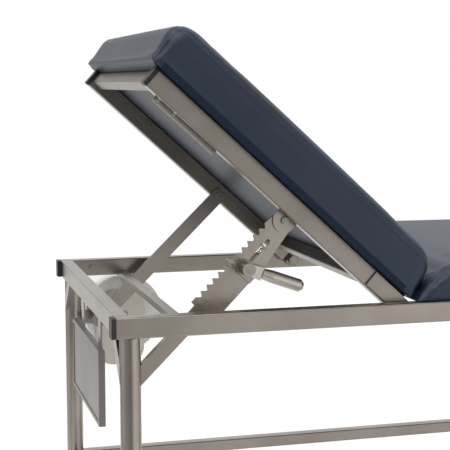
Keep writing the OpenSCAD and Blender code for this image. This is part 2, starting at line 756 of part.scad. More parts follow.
module upper_outline() {
  end = tooth_start + upper_teeth * tooth_pitch;
  difference() {
    union() {
      circle(plain_top, $fn = fine);
      polygon(concat([[0, plain_top], [0, -plain_top]],
        teeth(tooth_start, upper_teeth),
        [[end, -tooth_side], [end, plain_side], [boss_along * 4 / 5, plain_side]]));
    }
    translate([upper_length, -2 * tooth_side]) square([end, 4 * tooth_side]);
    circle(strut_bolt_radius + hinge_fit);
    translate([slot_start, slot_side - slot_width / 2]) square([slot_end - slot_start, slot_width]);
    translate([slot_start, slot_side]) circle(slot_width / 2);
    translate([boss_along, boss_side]) circle(boss_pin_radius + hinge_fit);
  }
}

module upper_toothed_plate() color(steel) place() on_strut() plate_y(upper_y, plate_thick) upper_outline();

module lower_outline() {
  first = tooth_start + (upper_teeth - 1) * tooth_pitch;
  difference() {
    polygon(concat([[lower_start, -tooth_side + tooth_depth]],
      teeth(first, lower_teeth + 1),
      [[first + (lower_teeth + 1) * tooth_pitch, -tooth_side],
        [lower_bolt + lower_tail, -tooth_side], [lower_bolt + lower_tail, plain_side],
        [lower_start, plain_side]]));
    translate([lower_bolt, 0]) circle(strut_bolt_radius);
  }
}

module lower_toothed_plate() color(steel) place() on_strut() difference() {
  plate_y(lower_y, plate_thick) lower_outline();
  translate([lower_bolt, 0, 0]) rod_y(lower_y - eps, plate_thick / 2 + eps, strut_head_radius);
}

module strut_lower_bolt() color(zinc) place() on_strut() translate([lower_bolt, 0, 0]) {
  rod_y(lower_y, plate_thick, strut_bolt_radius);
  rod_y(lower_y, plate_thick / 2, strut_head_radius);
}

module lever_pin() color(zinc) place() on_strut() translate([boss_along, 0, boss_side]) {
  rod_y(disc_y, disc_thick, disc_radius);
  rod_y(boss_front, boss_length + plate_gap + disc_thick + plate_thick, boss_pin_radius);
}

// Unbroken helical wire, written along the strut
module lever_spring() color(zinc) place() on_strut()
  translate([spring_start, upper_y, slot_side]) coil(spring_end - spring_start);

module coil(len) {
  n = 8;
  k = 6;
  t = spring_curls * n;
  pitch = len / spring_curls;
  lead = atan(pitch / (2 * PI * spring_radius));
  echo(spring_gap = pitch * cos(lead) - 2 * wire_radius);
  pts = [for (i = [0:t], j = [0:k - 1]) let (a = i * 360 / n, b = j * 360 / k,
      rad = spring_radius + wire_radius * cos(b))
    [len * i / t + wire_radius * sin(b) * cos(lead),
      rad * cos(a) - wire_radius * sin(b) * sin(lead) * -sin(a),
      rad * sin(a) - wire_radius * sin(b) * sin(lead) * cos(a)]];
  polyhedron(points = pts, faces = concat(
    [[for (j = [k - 1:-1:0]) j]],
    [for (i = [0:t - 1], j = [0:k - 1]) let (a = i * k + j, b = i * k + (j + 1) % k)
      [a, b, a + k]],
    [for (i = [0:t - 1], j = [0:k - 1]) let (a = i * k + j, b = i * k + (j + 1) % k)
      [b, b + k, a + k]],
    [[for (j = [0:k - 1]) t * k + j]]));
}

// Bar across the top of the slot with a nose inside the spring
module spring_seat() color(zinc) place() on_strut() translate([spring_start, 0, slot_side]) {
  translate([-pawl_thick, upper_y - plate_thick / 2, -slot_width * 3 / 4])
    cube([pawl_thick, plate_thick / 2, slot_width * 3 / 2]);
  translate([-pawl_thick, upper_y, 0]) rotate([0, 90, 0])
    cylinder(h = 2 * pawl_thick, r = spring_radius - 2 * wire_radius);
}

module release_boss() color(steel) place() on_strut() translate([boss_along, 0, boss_side]) difference() {
  rod_y(boss_front, boss_length, boss_radius);
  rod_y(boss_front - eps, boss_length + 2 * eps, boss_pin_radius + hinge_fit);
}

// Arm from the boss to the nose bar that lies across both toothed edges
module pawl() color(steel) place() on_strut() {
  plate_y(boss_y - pawl_thick, pawl_thick) difference() {
    union() {
      translate([pawl_along, -pawl_side]) circle(pawl_nose_radius);
      polygon([[pawl_along - pawl_nose_radius, -pawl_side], [pawl_along + pawl_nose_radius, -pawl_side],
        [boss_along + boss_radius * 0.9, boss_side], [boss_along - boss_radius * 0.6, boss_side]]);
    }
    translate([boss_along, boss_side]) circle(boss_radius + plug_gap / 2);
  }
  translate([pawl_along, 0, -pawl_side])
    rod_y(boss_y - pawl_thick, lug_y - plate_gap - boss_y + pawl_thick, pawl_nose_radius);
}

module on_lever() {
  translate([boss_x, 0, boss_z]) rotate([0, lever_fall, 0]) children();
}

// Flattened neck into a round grip, with a domed end
module release_lever() color(steel) place() on_lever() difference() {
  union() {
    plate_y(lever_y - lever_flat / 2, lever_flat) polygon([[0, boss_radius * 0.8],
      [grip_start * 0.6, boss_radius * 0.9], [grip_start * 0.6, -boss_radius * 1.1],
      [0, -boss_radius * 0.9]]);
    translate([grip_start * 0.6, lever_y, 0]) rotate([0, 90, 0])
      cylinder(h = grip_start * 0.4, r1 = grip_radius * 0.85, r2 = grip_radius);
    translate([grip_start, lever_y, 0]) rotate([0, 90, 0])
      cylinder(h = lever_length - grip_start - grip_radius / 2, r = grip_radius);
    translate([lever_length - grip_radius / 2, lever_y, 0]) rotate([0, 90, 0])
      cylinder(h = grip_radius / 2, r1 = grip_radius, r2 = grip_radius * 0.6);
  }
  translate([0, 0, 0]) rod_y(-half_w, half_w, boss_radius + plug_gap / 2);
}

module far_stay_bar() color(steel) place() translate([stay_x, 0, stay_z]) rotate([0, -stay_angle, 0])
  plate_y(stay_y, stay_thick) difference() {
    union() {
      circle(stay_width / 2);
      translate([-stay_length, 0]) circle(stay_width / 2);
      translate([-stay_length, -stay_width / 2]) square([stay_length, stay_width]);
    }
    circle(strut_bolt_radius + hinge_fit);
  }

module stay_bolt() color(zinc) place() translate([stay_x, 0, stay_z]) {
  rod_y(stay_y - plate_gap, plate_gap * 2 + stay_thick, strut_bolt_radius);
  rod_y(stay_y - plate_gap - strut_head, strut_head, strut_head_radius);
}

near_side_rail();
far_side_rail();
head_cross_rail();
foot_cross_rail();
rail_end_plugs();
ratchet_crossbar();
seat_cross_tubes();
legs();
leg_feet();
leg_braces();
head_end_braces();
long_stretchers();
end_stretchers();
frame_screws();
nameplate_tray();
nameplate_hangers();
hinge_bolts();
ratchet_lug();
stay_rest_stud();
roll_bracket();
roll_spindle();
roll_keeper();
roll_core();
paper_roll();
seat_board();
seat_pad();
seat_board_screws();
near_backrest_rail();
far_backrest_rail();
backrest_head_tube();
backrest_lower_tube();
backrest_end_plugs();
backrest_hinge_plates();
backrest_board();
backrest_pad();
backrest_stiffener();
backrest_screws();
ratchet_ear();
strut_upper_bolt();
upper_toothed_plate();
lever_pin();
lever_spring();
spring_seat();
lower_toothed_plate();
strut_lower_bolt();
release_boss();
pawl();
release_lever();
far_stay_bar();
stay_bolt();
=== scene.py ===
# %% [markdown]
# # Examination table in Blender
# The steel frame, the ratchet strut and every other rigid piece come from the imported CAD
# model. This lesson dresses them: it gives each steel, plastic and paper piece its real
# finish, and it replaces the two plain cushion solids by upholstered pads.

# %% Load the frame
import math
import bmesh
import bpy
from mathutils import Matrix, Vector, noise
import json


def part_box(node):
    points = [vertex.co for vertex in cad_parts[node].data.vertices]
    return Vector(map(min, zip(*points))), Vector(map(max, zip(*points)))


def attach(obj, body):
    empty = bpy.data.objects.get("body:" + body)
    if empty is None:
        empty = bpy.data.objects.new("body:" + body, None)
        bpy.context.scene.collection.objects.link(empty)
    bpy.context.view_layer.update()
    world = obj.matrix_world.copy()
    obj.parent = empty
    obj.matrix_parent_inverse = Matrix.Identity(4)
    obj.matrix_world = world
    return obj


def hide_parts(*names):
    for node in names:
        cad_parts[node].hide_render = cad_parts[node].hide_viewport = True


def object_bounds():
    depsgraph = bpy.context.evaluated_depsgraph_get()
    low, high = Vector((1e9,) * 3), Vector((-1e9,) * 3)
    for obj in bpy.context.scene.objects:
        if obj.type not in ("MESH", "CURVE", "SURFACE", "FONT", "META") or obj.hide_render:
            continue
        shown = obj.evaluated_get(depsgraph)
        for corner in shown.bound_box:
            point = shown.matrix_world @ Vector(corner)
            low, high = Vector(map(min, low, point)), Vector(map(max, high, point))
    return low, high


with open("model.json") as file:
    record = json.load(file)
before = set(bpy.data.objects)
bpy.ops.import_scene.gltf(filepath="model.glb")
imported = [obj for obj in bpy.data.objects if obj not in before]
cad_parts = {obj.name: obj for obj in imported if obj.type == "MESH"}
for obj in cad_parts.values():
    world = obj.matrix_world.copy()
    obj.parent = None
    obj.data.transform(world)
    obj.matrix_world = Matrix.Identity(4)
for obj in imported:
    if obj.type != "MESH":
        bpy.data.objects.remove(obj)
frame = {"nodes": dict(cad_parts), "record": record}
cad_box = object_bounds()
print("CAD box", cad_box)

# %% [markdown]
# Lengths below are written in millimetres, because that is how a maker measures them, and
# one helper turns them into Blender's metres. The table's own frame has X from the head end
# to the foot end, Y from the near side to the far side, and Z up from the floor. The
# backrest pad is placed from its hinge, in a second frame that is tilted with the backrest.

# %% Units, table frame and backrest frame
def mm(value):
    """Millimetres to metres."""
    return value / 1000.0

def in_mm(point):
    """A point's three coordinates in millimetres again."""
    return [c * 1000 for c in point]

RAIL_TOP = mm(700)
HEAD_END = mm(-940)
BACK_ANGLE = math.radians(42)
hinge = Vector(frame["record"]["behaviour"]["joints"][0]["pos_m"])
up_back = Vector((-math.cos(BACK_ANGLE), 0, math.sin(BACK_ANGLE)))
off_back = Vector((math.sin(BACK_ANGLE), 0, math.cos(BACK_ANGLE)))
across = Vector((0, 1, 0))

def on_back(r, y, q):
    """A point r up the backrest from its hinge and q toward the pad, in mm."""
    return hinge + up_back * mm(r) + across * mm(y) + off_back * mm(q)

def on_table(x, y, z):
    """A point x from the head end of the rails and z above their top, in mm."""
    return Vector((HEAD_END + mm(x), hinge.y + mm(y), RAIL_TOP + mm(z)))

print("backrest hinge at", [round(v, 4) for v in hinge])

# %% [markdown]
# A camera that sees the object as the photograph does comes from two vanishing directions:
# the long rails and the cross rails. They give a long lens, a low camera near the head end,
# and a view that looks slightly down.

# %% Camera
CAMERA_YAW = 15.29
CAMERA_PITCH = 6.72
CAMERA_LENS, SENSOR_WIDTH = 96.6, 36
CAMERA_PLACE = (-337, -2243, 379)
camera_data = bpy.data.cameras.new("camera")
camera_data.lens = CAMERA_LENS
camera_data.sensor_width = SENSOR_WIDTH
camera = bpy.data.objects.new("camera", camera_data)
bpy.context.scene.collection.objects.link(camera)
camera.location = on_table(*CAMERA_PLACE)
camera.rotation_euler = (math.radians(90 - CAMERA_PITCH), 0, math.radians(-CAMERA_YAW))
bpy.context.scene.camera = camera
print("camera at", [round(v, 3) for v in camera.location])

# %% [markdown]
# Colours are picked as sRGB hex values, as a paint card gives them. Blender's shaders work
# in linear light, so one function turns the hex into linear numbers. A second function adds
# every shader node, and a third turns a real size into a pattern's scale.

# %% Colour and node helpers
def linear(hex_text):
    """Linear RGBA of an sRGB hex colour."""
    parts = [int(hex_text[i:i + 2], 16) / 255 for i in (1, 3, 5)]
    return [c / 12.92 if c <= 0.04045 else ((c + 0.055) / 1.055) ** 2.4 for c in parts] + [1.0]

def add(tree, kind, settings=None, **links):
    """Add a node, set its properties and sockets, and link what is given as a socket."""
    node = tree.nodes.new(kind)
    for key, value in (settings or {}).items():
        if isinstance(key, str) and hasattr(node, key):
            setattr(node, key, value)
        else:
            node.inputs[key].default_value = value
    for key, source in links.items():
        key = key.replace("_", " ")
        tree.links.new(source, node.inputs[key])
    return node

def finish_of(name):
    """A new material with its surface shader and its object coordinates."""
    material = bpy.data.materials.new(name)
    material.use_nodes = True
    tree = material.node_tree
    shader = tree.nodes["Principled BSDF"]
    place = add(tree, "ShaderNodeTexCoord").outputs["Object"]
    return material, tree, shader, place

def per_metre(size_mm):
    """Pattern scale that gives features of this real size."""
    return 1000.0 / size_mm

print("brushed steel grey in linear light", [round(c, 3) for c in linear("#989088")])

# %% [markdown]
# The frame is stainless steel tube, ground and brushed lengthwise with a fine belt. Bare
# metal takes its tone from what it mirrors, so metallic is one and the colour is the steel's
# own warm grey. Brushing blurs the mirror image and leaves hair lines along the tube. They
# could be painted as an image, but a noise stretched along the tube stays sharp at any size.
# The lines turn with each piece, because a tube is ground before it is welded in.

# %% Brushed stainless steel
# The noise values at which a patch is all dark and all light.
PATCH_BLEND = (0.35, 0.65)
# The size of the hair lines and of the patches in the steel's tone, in mm.
LINE_LENGTH, LINE_WIDTH, LINE_DEPTH = 90, 0.9, 0.005
STEEL_PATCH = 150

def mottled(tree, place, shader, dark, light, size_mm):
    """Colour that drifts between two tones over patches of the given size."""
    patch = add(tree, "ShaderNodeTexNoise", {"Scale": per_metre(size_mm), "Detail": 4.0},
                Vector=place)
    ramp = add(tree, "ShaderNodeValToRGB", Fac=patch.outputs["Fac"])
    for stop, (at, tone) in zip(ramp.color_ramp.elements, zip(PATCH_BLEND, (dark, light))):
        stop.position, stop.color = at, linear(tone)
    tree.links.new(ramp.outputs["Color"], shader.inputs["Base Color"])

def relief(tree, shader, height, depth_mm):
    """Bump of a real depth from a height that is 1 at the top of the pattern."""
    bump = add(tree, "ShaderNodeBump", {"Strength": 1.0, "Distance": mm(depth_mm)}, Height=height)
    tree.links.new(bump.outputs["Normal"], shader.inputs["Normal"])

def brushed_steel(name, turn, tones=("#989088", "#A8A098"), rough=(0.24, 0.33)):
    """Steel whose hair lines run along X, turned by these degrees about X, Y and Z."""
    material, tree, shader, place = finish_of(name)
    shader.inputs["Metallic"].default_value = 1.0
    along = add(tree, "ShaderNodeMapping",
                {"Rotation": [math.radians(-angle) for angle in turn]}, Vector=place)
    # Belt lines are about 0.1 mm wide on the real tube; 0.9 mm still shows in the render.
    squeeze = add(tree, "ShaderNodeMapping", {"Scale": (LINE_WIDTH / LINE_LENGTH, 1, 1)},
                  Vector=along.outputs["Vector"])
    lines = add(tree, "ShaderNodeTexNoise", {"Scale": per_metre(LINE_WIDTH), "Detail": 3.0},
                Vector=squeeze.outputs["Vector"])
    mottled(tree, place, shader, *tones, STEEL_PATCH)
    dullness = add(tree, "ShaderNodeMapRange", {"To Min": rough[0], "To Max": rough[1]},
                   Value=lines.outputs["Fac"])
    tree.links.new(dullness.outputs["Result"], shader.inputs["Roughness"])
    relief(tree, shader, lines.outputs["Fac"], LINE_DEPTH)
    return material

# What turns the lines from X onto the way that each piece was ground, in degrees.
ALONG_X, ALONG_Y, ALONG_Z = (0, 0, 0), (0, 0, 90), (0, 90, 0)
ALONG_BACKREST, ALONG_STRUT, ALONG_GRIP = (0, 42, 0), (0, 45.8, 0), (0, 14, 0)

frame_steels = {"lengthwise": ALONG_X, "crosswise": ALONG_Y, "upright": ALONG_Z,
                "backrest": ALONG_BACKREST, "strut": ALONG_STRUT}
# These differ in tone or sheen: the near backrest rail and its hinge plates are darker as painted
# shade from the pad above, the backrest's head and lower tubes are darker as painted shade, the
# grip is lighter as a painted highlight, the nameplate is etched and the roll bracket is blasted.
special_steels = {
    "handled": ("handled_stainless_steel", ALONG_BACKREST, ("#8A827A", "#99918A")),
    "satin": ("satin_stainless_steel", ALONG_Y, ("#7C756E", "#8A827B"), (0.3, 0.42)),
    "grip": ("turned_stainless_steel", ALONG_GRIP, ("#BDB6AE", "#CBC5BD")),
    "nameplate": ("etched_stainless_steel", ALONG_Y, ("#8B8386", "#98918C"), (0.34, 0.46)),
    "blasted": ("bead_blasted_stainless_steel", ALONG_Z, ("#D2CBC1", "#DBD4CB"), (0.5, 0.6))}
steel_along = {way: brushed_steel("brushed_stainless_steel_" + way, turn)
               for way, turn in frame_steels.items()}
steel_along.update({way: brushed_steel(*look) for way, look in special_steels.items()})
print("made", len(steel_along), "brushed steels")

# %% [markdown]
# Bolts, screws and the spindle are zinc plated steel: grey metal with fine turning marks,
# duller than chrome. The spring is drawn wire in a darker tone, partly its own and partly painted
# shade of the slot it sits in.

# %% Zinc plated steel and spring wire
ZINC_ROUGHNESS, ZINC_PATCH = 0.34, 9
MARK_WIDTH, MARK_DEPTH = 0.9, 0.03

def zinc_plate(name, dark, light):
    """Dull bright metal in two tones, with fine marks in all directions."""
    material, tree, shader, place = finish_of(name)
    shader.inputs["Metallic"].default_value = 1.0
    shader.inputs["Roughness"].default_value = ZINC_ROUGHNESS
    mottled(tree, place, shader, dark, light, ZINC_PATCH)
    marks = add(tree, "ShaderNodeTexNoise", {"Scale": per_metre(MARK_WIDTH), "Detail": 3.0},
                Vector=place)
    relief(tree, shader, marks.outputs["Fac"], MARK_DEPTH)
    return material

zinc = zinc_plate("zinc_plated_steel", "#928D86", "#ABA69F")
# The spring's darker tone is partly the wire's own and partly painted shade of its slot.
spring_wire = zinc_plate("spring_wire_painted_slot_shade", "#6A665F", "#7E7972")
print("made", zinc.name, spring_wire.name)

# %% [markdown]
# The plugs in the tube ends are injection moulded polypropylene: very dark, matt, with a
# fine spark-eroded grain. The feet are moulded rubber, rougher and dusty. The roll's keeper
# is white nylon. One recipe serves all three, and each has its tones, gloss and grain size.

# %% Moulded plugs, feet and keeper
POLYMER_IOR, POLYMER_PATCH = 1.49, 14

def moulded(name, dark, light, roughness, grain_mm, depth_mm):
    """A matt solid in two tones, with a grain of this size and depth."""
    material, tree, shader, place = finish_of(name)
    shader.inputs["Roughness"].default_value = roughness
    shader.inputs["IOR"].default_value = POLYMER_IOR
    mottled(tree, place, shader, dark, light, POLYMER_PATCH)
    grain = add(tree, "ShaderNodeTexNoise", {"Scale": per_metre(grain_mm), "Detail": 1.0},
                Vector=place)
    relief(tree, shader, grain.outputs["Fac"], depth_mm)
    return material

plug_plastic = moulded("moulded_polypropylene", "#232323", "#2C2C2B", 0.45, 0.8, 0.05)
foot_rubber = moulded("moulded_rubber", "#1E1E1E", "#2C2B2A", 0.75, 1.2, 0.08)
keeper_plastic = moulded("white_moulded_nylon", "#CFCCC6", "#DCD9D3", 0.5, 0.9, 0.03)
print("made", plug_plastic.name, foot_rubber.name, keeper_plastic.name)

# %% [markdown]
# The pads wear PVC coated knit, the wipe-clean vinyl of clinic furniture. It has a fine
# leather grain, a semi-matt top coat that turns pale at a low angle, and slow waves where
# it is stretched over foam.

# %% Upholstery vinyl
VINYL_TONES, VINYL_PATCH = ("#1D2A3A", "#253243"), 220
# Grain cells are about 1 mm on the real vinyl; 1.6 mm still shows in the render.
GRAIN_CELL, GRAIN_EDGE, GRAIN_DEPTH = 1.6, 0.12, 0.05
# The slow waves are this long in mm, and this many times as high as the grain is deep.
WAVE_LENGTH, WAVE_HEIGHT = 120, 30.0

def vinyl_cover():
    """Coated vinyl with a leather grain on top of slow waves."""
    material, tree, shader, place = finish_of("pvc_upholstery_vinyl")
    shader.inputs["Roughness"].default_value = 0.46
    shader.inputs["IOR"].default_value = 1.52
    shader.inputs["Specular IOR Level"].default_value = 0.36
    shader.inputs["Coat Weight"].default_value = 0.12
    shader.inputs["Coat Roughness"].default_value = 0.35
    mottled(tree, place, shader, *VINYL_TONES, VINYL_PATCH)
    cells = add(tree, "ShaderNodeTexVoronoi", {"feature": "DISTANCE_TO_EDGE",
                "Scale": per_metre(GRAIN_CELL)}, Vector=place)
    creases = add(tree, "ShaderNodeMapRange", {"From Max": GRAIN_EDGE},
                  Value=cells.outputs["Distance"])
    waves = add(tree, "ShaderNodeTexNoise", {"Scale": per_metre(WAVE_LENGTH), "Detail": 1.5},
                Vector=place)
    swell = add(tree, "ShaderNodeMath", {"operation": "MULTIPLY", 1: WAVE_HEIGHT})
    tree.links.new(waves.outputs["Fac"], swell.inputs[0])
    both = add(tree, "ShaderNodeMath", {"operation": "ADD"})
    tree.links.new(creases.outputs["Result"], both.inputs[0])
    tree.links.new(swell.outputs["Value"], both.inputs[1])
    relief(tree, shader, both.outputs["Value"], GRAIN_DEPTH)
    return material

vinyl = vinyl_cover()
print("made", vinyl.name)

# %% [markdown]
# Under each pad the plywood is closed with spun-bonded polypropylene, a dark grey felt-like
# cloth with a pressed point pattern. The cover is turned round the board's long edges and
# stapled there, so vinyl shows outside the cloth. Paper and its card core finish the list;
# the card takes the moulded recipe with a coarser grain.

# %% Board cloth, paper and card
# How far from the table's middle the turned edge of the cover starts.
TURNED_EDGE = mm(312)
LINING_PATCH, PAPER_PATCH = 60, 40
# The pressed points are 1 mm apart on the real cloth; 3 mm still shows in the render.
POINT_PITCH, POINT_DEPTH = 3, 0.15
CREPE_LENGTH, CREPE_DEPTH = 4, 0.25

def spun_bond():
    """Pressed cloth in the middle of the board, the turned vinyl cover along its sides."""
    material, tree, shader, place = finish_of("spun_bonded_lining")
    shader.inputs["Roughness"].default_value = 0.85
    shader.inputs["Specular IOR Level"].default_value = 0.2
    mottled(tree, place, shader, "#2D2F33", "#36383C", LINING_PATCH)
    aside = add(tree, "ShaderNodeSeparateXYZ", Vector=place).outputs["Y"]
    off_centre = add(tree, "ShaderNodeMath", {"operation": "SUBTRACT", 1: hinge.y})
    distance = add(tree, "ShaderNodeMath", {"operation": "ABSOLUTE"})
    turned = add(tree, "ShaderNodeMath", {"operation": "GREATER_THAN", 1: TURNED_EDGE})
    for source, node in ((aside, off_centre), (off_centre.outputs[0], distance),
                         (distance.outputs[0], turned)):
        tree.links.new(source, node.inputs[0])
    both = add(tree, "ShaderNodeMixRGB", {"Color2": linear(VINYL_TONES[0])},
               Fac=turned.outputs[0])
    tree.links.new(shader.inputs["Base Color"].links[0].from_socket, both.inputs["Color1"])
    tree.links.new(both.outputs["Color"], shader.inputs["Base Color"])
    points = add(tree, "ShaderNodeTexVoronoi", {"Scale": per_metre(POINT_PITCH)}, Vector=place)
    relief(tree, shader, points.outputs["Distance"], POINT_DEPTH)
    return material

def rolled_paper():
    """White paper with the soft creases of crepe."""
    material, tree, shader, place = finish_of("crepe_paper")
    shader.inputs["Roughness"].default_value = 0.9
    mottled(tree, place, shader, "#F1EFEA", "#F8F7F4", PAPER_PATCH)
    wrap = add(tree, "ShaderNodeTexNoise", {"Scale": per_metre(CREPE_LENGTH), "Detail": 3.0},
               Vector=place)
    relief(tree, shader, wrap.outputs["Fac"], CREPE_DEPTH)
    return material

lining = spun_bond()
crepe = rolled_paper()
card = moulded("grey_core_board", "#9C8B74", "#AD9C85", 0.85, 1.5, 0.08)
print("made", lining.name, crepe.name, card.name)

# %% [markdown]
# Every CAD piece that stays gets its finish by its slot in the record. The slots are the
# real materials, so a short table joins them. A second table names the steel pieces that
# aren't brushed lengthwise in the plain tone.

# %% Finishes for the CAD pieces
finish_for = {"stainless_steel": steel_along["lengthwise"], "zinc_steel": zinc,
              "black_plastic": plug_plastic, "black_rubber": foot_rubber,
              "white_plastic": keeper_plastic, "vinyl_cover": vinyl, "board_cloth": lining,
              "roll_paper": crepe, "core_card": card}
brushed_way = {
    "crosswise": ["head_cross_rail", "foot_cross_rail", "ratchet_crossbar", "seat_cross_tubes",
                  "end_stretchers", "backrest_stiffener"],
    # These tones are painted shade on the backrest's head and lower tubes and, from the pad
    # above, on the near backrest rail and its hinge plates; the release lever's lighter tone is a
    # painted highlight.
    "satin": ["backrest_head_tube", "backrest_lower_tube"],
    "handled": ["near_backrest_rail", "backrest_hinge_plates"],
    "grip": ["release_lever"], "nameplate": ["nameplate_tray"], "blasted": ["roll_bracket"],
    "upright": ["legs", "nameplate_hangers", "leg_braces", "head_end_braces"],
    "backrest": ["far_backrest_rail"],
    "strut": ["upper_toothed_plate", "lower_toothed_plate", "far_stay_bar", "ratchet_lug"]}
own_finish = {node: steel_along[way] for way, nodes in brushed_way.items() for node in nodes}
own_finish["lever_spring"] = spring_wire
slot_of = {part["node"]: part["material_slot"] for part in frame["record"]["subparts"]}
for node, obj in frame["nodes"].items():
    finish = own_finish.get(node, finish_for[slot_of[node]])
    obj.data.materials.clear()
    obj.data.materials.append(finish)
print("dressed", len(slot_of), "CAD pieces")

# %% [markdown]
# A pad is a slab of foam on plywood with a boxed cover. It could be a bevelled box, but then
# it would look machined. Here a slightly smaller slab is voxel remeshed and its edges are
# rolled over, wide at the top where the foam gives and tight at the board.

# %% The slab under the cover
VOXEL = mm(7)
# The slab stays this far inside the pad's size, to leave room for the swelling.
SHRINK = mm(4)
ROUND_TOP, ROUND_BOTTOM = mm(38), mm(6)
# Below one, so that the radius grows fastest close to the board.
ROUND_GROWTH = 0.6

def slab(name, length, width, height, lean):
    """Closed block: X along the pad, Z up from the board, lean shifts the top of X=0."""
    shape = bmesh.new()
    bmesh.ops.create_cube(shape, size=1)
    for v in shape.verts:
        x, y, z = v.co.x + 0.5, v.co.y, v.co.z + 0.5
        v.co = (SHRINK + x * (length - 2 * SHRINK) + (lean * z if x < 0.5 else 0),
                y * (width - 2 * SHRINK), z * (height - SHRINK))
    mesh = bpy.data.meshes.new(name)
    shape.to_mesh(mesh)
    shape.free()
    block = bpy.data.objects.new(name, mesh)
    bpy.context.scene.collection.objects.link(block)
    return block

def rounded(obj, length, width, height, lean):
    """Roll the points near an edge onto an arc, wide at the top and tight at the board."""
    for v in obj.data.vertices:
        share = min(1.0, max(0.0, v.co.z / (height - SHRINK)))
        radius = ROUND_BOTTOM + (ROUND_TOP - ROUND_BOTTOM) * share ** ROUND_GROWTH
        low = Vector((SHRINK + lean * share + radius, SHRINK - width / 2 + radius, ROUND_BOTTOM))
        high = Vector((length - SHRINK - radius, width / 2 - SHRINK - radius,
                       height - SHRINK - ROUND_TOP))
        core = Vector([min(max(c, a), b) for c, a, b in zip(v.co, low, high)])
        out = v.co - core
        reach = Vector((radius, radius, ROUND_TOP if v.co.z > core.z else ROUND_BOTTOM))
        scaled = Vector([o / r for o, r in zip(out, reach)])
        if scaled.length > 0:
            ball = scaled.normalized() * max(abs(c) for c in scaled)
            v.co = core + Vector([c * r for c, r in zip(ball, reach)])

def settle(obj):
    """Swap the object's mesh for what its modifiers make of it now."""
    graph = bpy.context.evaluated_depsgraph_get()
    mesh = bpy.data.meshes.new_from_object(obj.evaluated_get(graph))
    obj.modifiers.clear()
    obj.data = mesh

def remeshed(obj):
    """Even small faces all over, which the cloth needs."""
    cut = obj.modifiers.new("voxels", "REMESH")
    cut.mode, cut.voxel_size = "VOXEL", VOXEL
    settle(obj)

seat_low, seat_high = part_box("seat_pad")
print("seat pad solid", [round(b - a, 3) for a, b in zip(seat_low, seat_high)])

# %% [markdown]
# Blender's cloth blows the cover up under light pressure, while its underside is pinned to
# the board. The faces crown and the sides draw in at the corners, as a stuffed cover does. A
# real cover is stretched hard over its foam and swells only a little, so no point may move
# further than a few millimetres, and the pad keeps its size.

# %% Blow up the cover
SWELL_FRAMES, SWELL_PRESSURE, SWELL_CAP = 20, 4.0, mm(3)
# What lies below this height is stapled to the board.
PINNED_HEIGHT = mm(9)

def inflate(obj):
    """Cloth under pressure with its underside held, then a cap on how far a point moves."""
    start = [v.co.copy() for v in obj.data.vertices]
    held = obj.vertex_groups.new(name="board")
    held.add([v.index for v in obj.data.vertices if v.co.z < PINNED_HEIGHT], 1.0, "REPLACE")
    cloth = obj.modifiers.new("cover", "CLOTH")
    cloth.settings.use_pressure = True
    cloth.settings.uniform_pressure_force = SWELL_PRESSURE
    cloth.settings.vertex_group_mass = "board"
    cloth.settings.effector_weights.gravity = 0
    cloth.settings.quality = 4
    cloth.collision_settings.use_collision = False
    cloth.point_cache.frame_start, cloth.point_cache.frame_end = 1, SWELL_FRAMES
    for step in range(1, SWELL_FRAMES + 1):
        bpy.context.scene.frame_set(step)
    settle(obj)
    bpy.context.scene.frame_set(1)
    moved = 0.0
    for v, was in zip(obj.data.vertices, start):
        shift = v.co - was
        if shift.length > SWELL_CAP:
            v.co = was + shift.normalized() * SWELL_CAP
        moved = max(moved, (v.co - was).length)
    print(obj.name, len(start), "points, moved at most", round(moved * 1000, 1), "mm")

# %% [markdown]
# A boxed cover has a seam where its side band meets the top panel, and a tuck at each lower
# corner where the vinyl is folded before it is stapled under the board. Both are pressed in
# after the simulation, because remeshing would lose them.

# %% Seams, tucks and the crown
# A distance in metres that no groove reaches, so dent leaves the point alone.
FAR_AWAY = 1.0

def dent(obj, depth, width, distance):
    """Push points inward along their normals by a smooth groove round distance(point) = 0."""
    normals = [v.normal.copy() for v in obj.data.vertices]
    for v, n in zip(obj.data.vertices, normals):
        d = distance(v.co)
        if d < 3 * width:
            v.co -= n * depth * math.exp(-(d / width) ** 2)

def crown(obj, length, width, height, rise):
    """Raise the top smoothly toward the middle."""
    for v in obj.data.vertices:
        share = max(0.0, v.co.z / height)
        a = max(0.0, 1 - (2 * v.co.x / length - 1) ** 4)
        b = max(0.0, 1 - (2 * v.co.y / width) ** 4)
        v.co.z += rise * a * b * share ** 2

# Taken off the noise, so that the wrinkles press in a little more than they stand out.
NOISE_OFFSET = 0.1

def creased(obj, amount, size, where):
    """Soft wrinkles of the given size, as strong as where(point) says."""
    normals = [v.normal.copy() for v in obj.data.vertices]
    for v, n in zip(obj.data.vertices, normals):
        strong = where(v.co)
        if strong > 0.01:
            v.co += n * amount * strong * (noise.noise(v.co / size) - NOISE_OFFSET)

def smooth_skin(obj):
    """One subdivision and smooth shading, applied."""
    finer = obj.modifiers.new("finer", "SUBSURF")
    finer.levels = finer.render_levels = 1
    settle(obj)
    for face in obj.data.polygons:
        face.use_smooth = True

print("seams, tucks, wrinkles and crown can be pressed in")

# %% [markdown]
# The seat pad lies on the side rails. Its head end leans back, to leave room for the
# backrest pad when it comes up, and its cover is slack and wrinkled at the near head corner.
# One function makes both pads, with the seam near the top of the side band.

# %% Seat pad
SEAT_START, SEAT_END = 524, 1878
SEAT_WIDTH, SEAT_HEIGHT, SEAT_LEAN, SEAT_CROWN = 690, 66, 44, 5
# The seat lies this far above the rails in mm, so that the two don't touch.
SEAT_LIFT = 0.3
# The seam runs at this share of the pad's height, this far in from the sides at most.
SEAM_SHARE, SEAM_REACH = 0.80, mm(16)
SEAM_DEPTH, SEAM_WIDTH = mm(0.5), mm(2.2)
# The slack corner: how far the wrinkles reach along X, along Y and up, and their size.
SLACK_ALONG, SLACK_ACROSS, SLACK_UP = mm(70), mm(90), mm(20)
WRINKLE_HEIGHT, WRINKLE_SIZE = mm(3.5), mm(16)

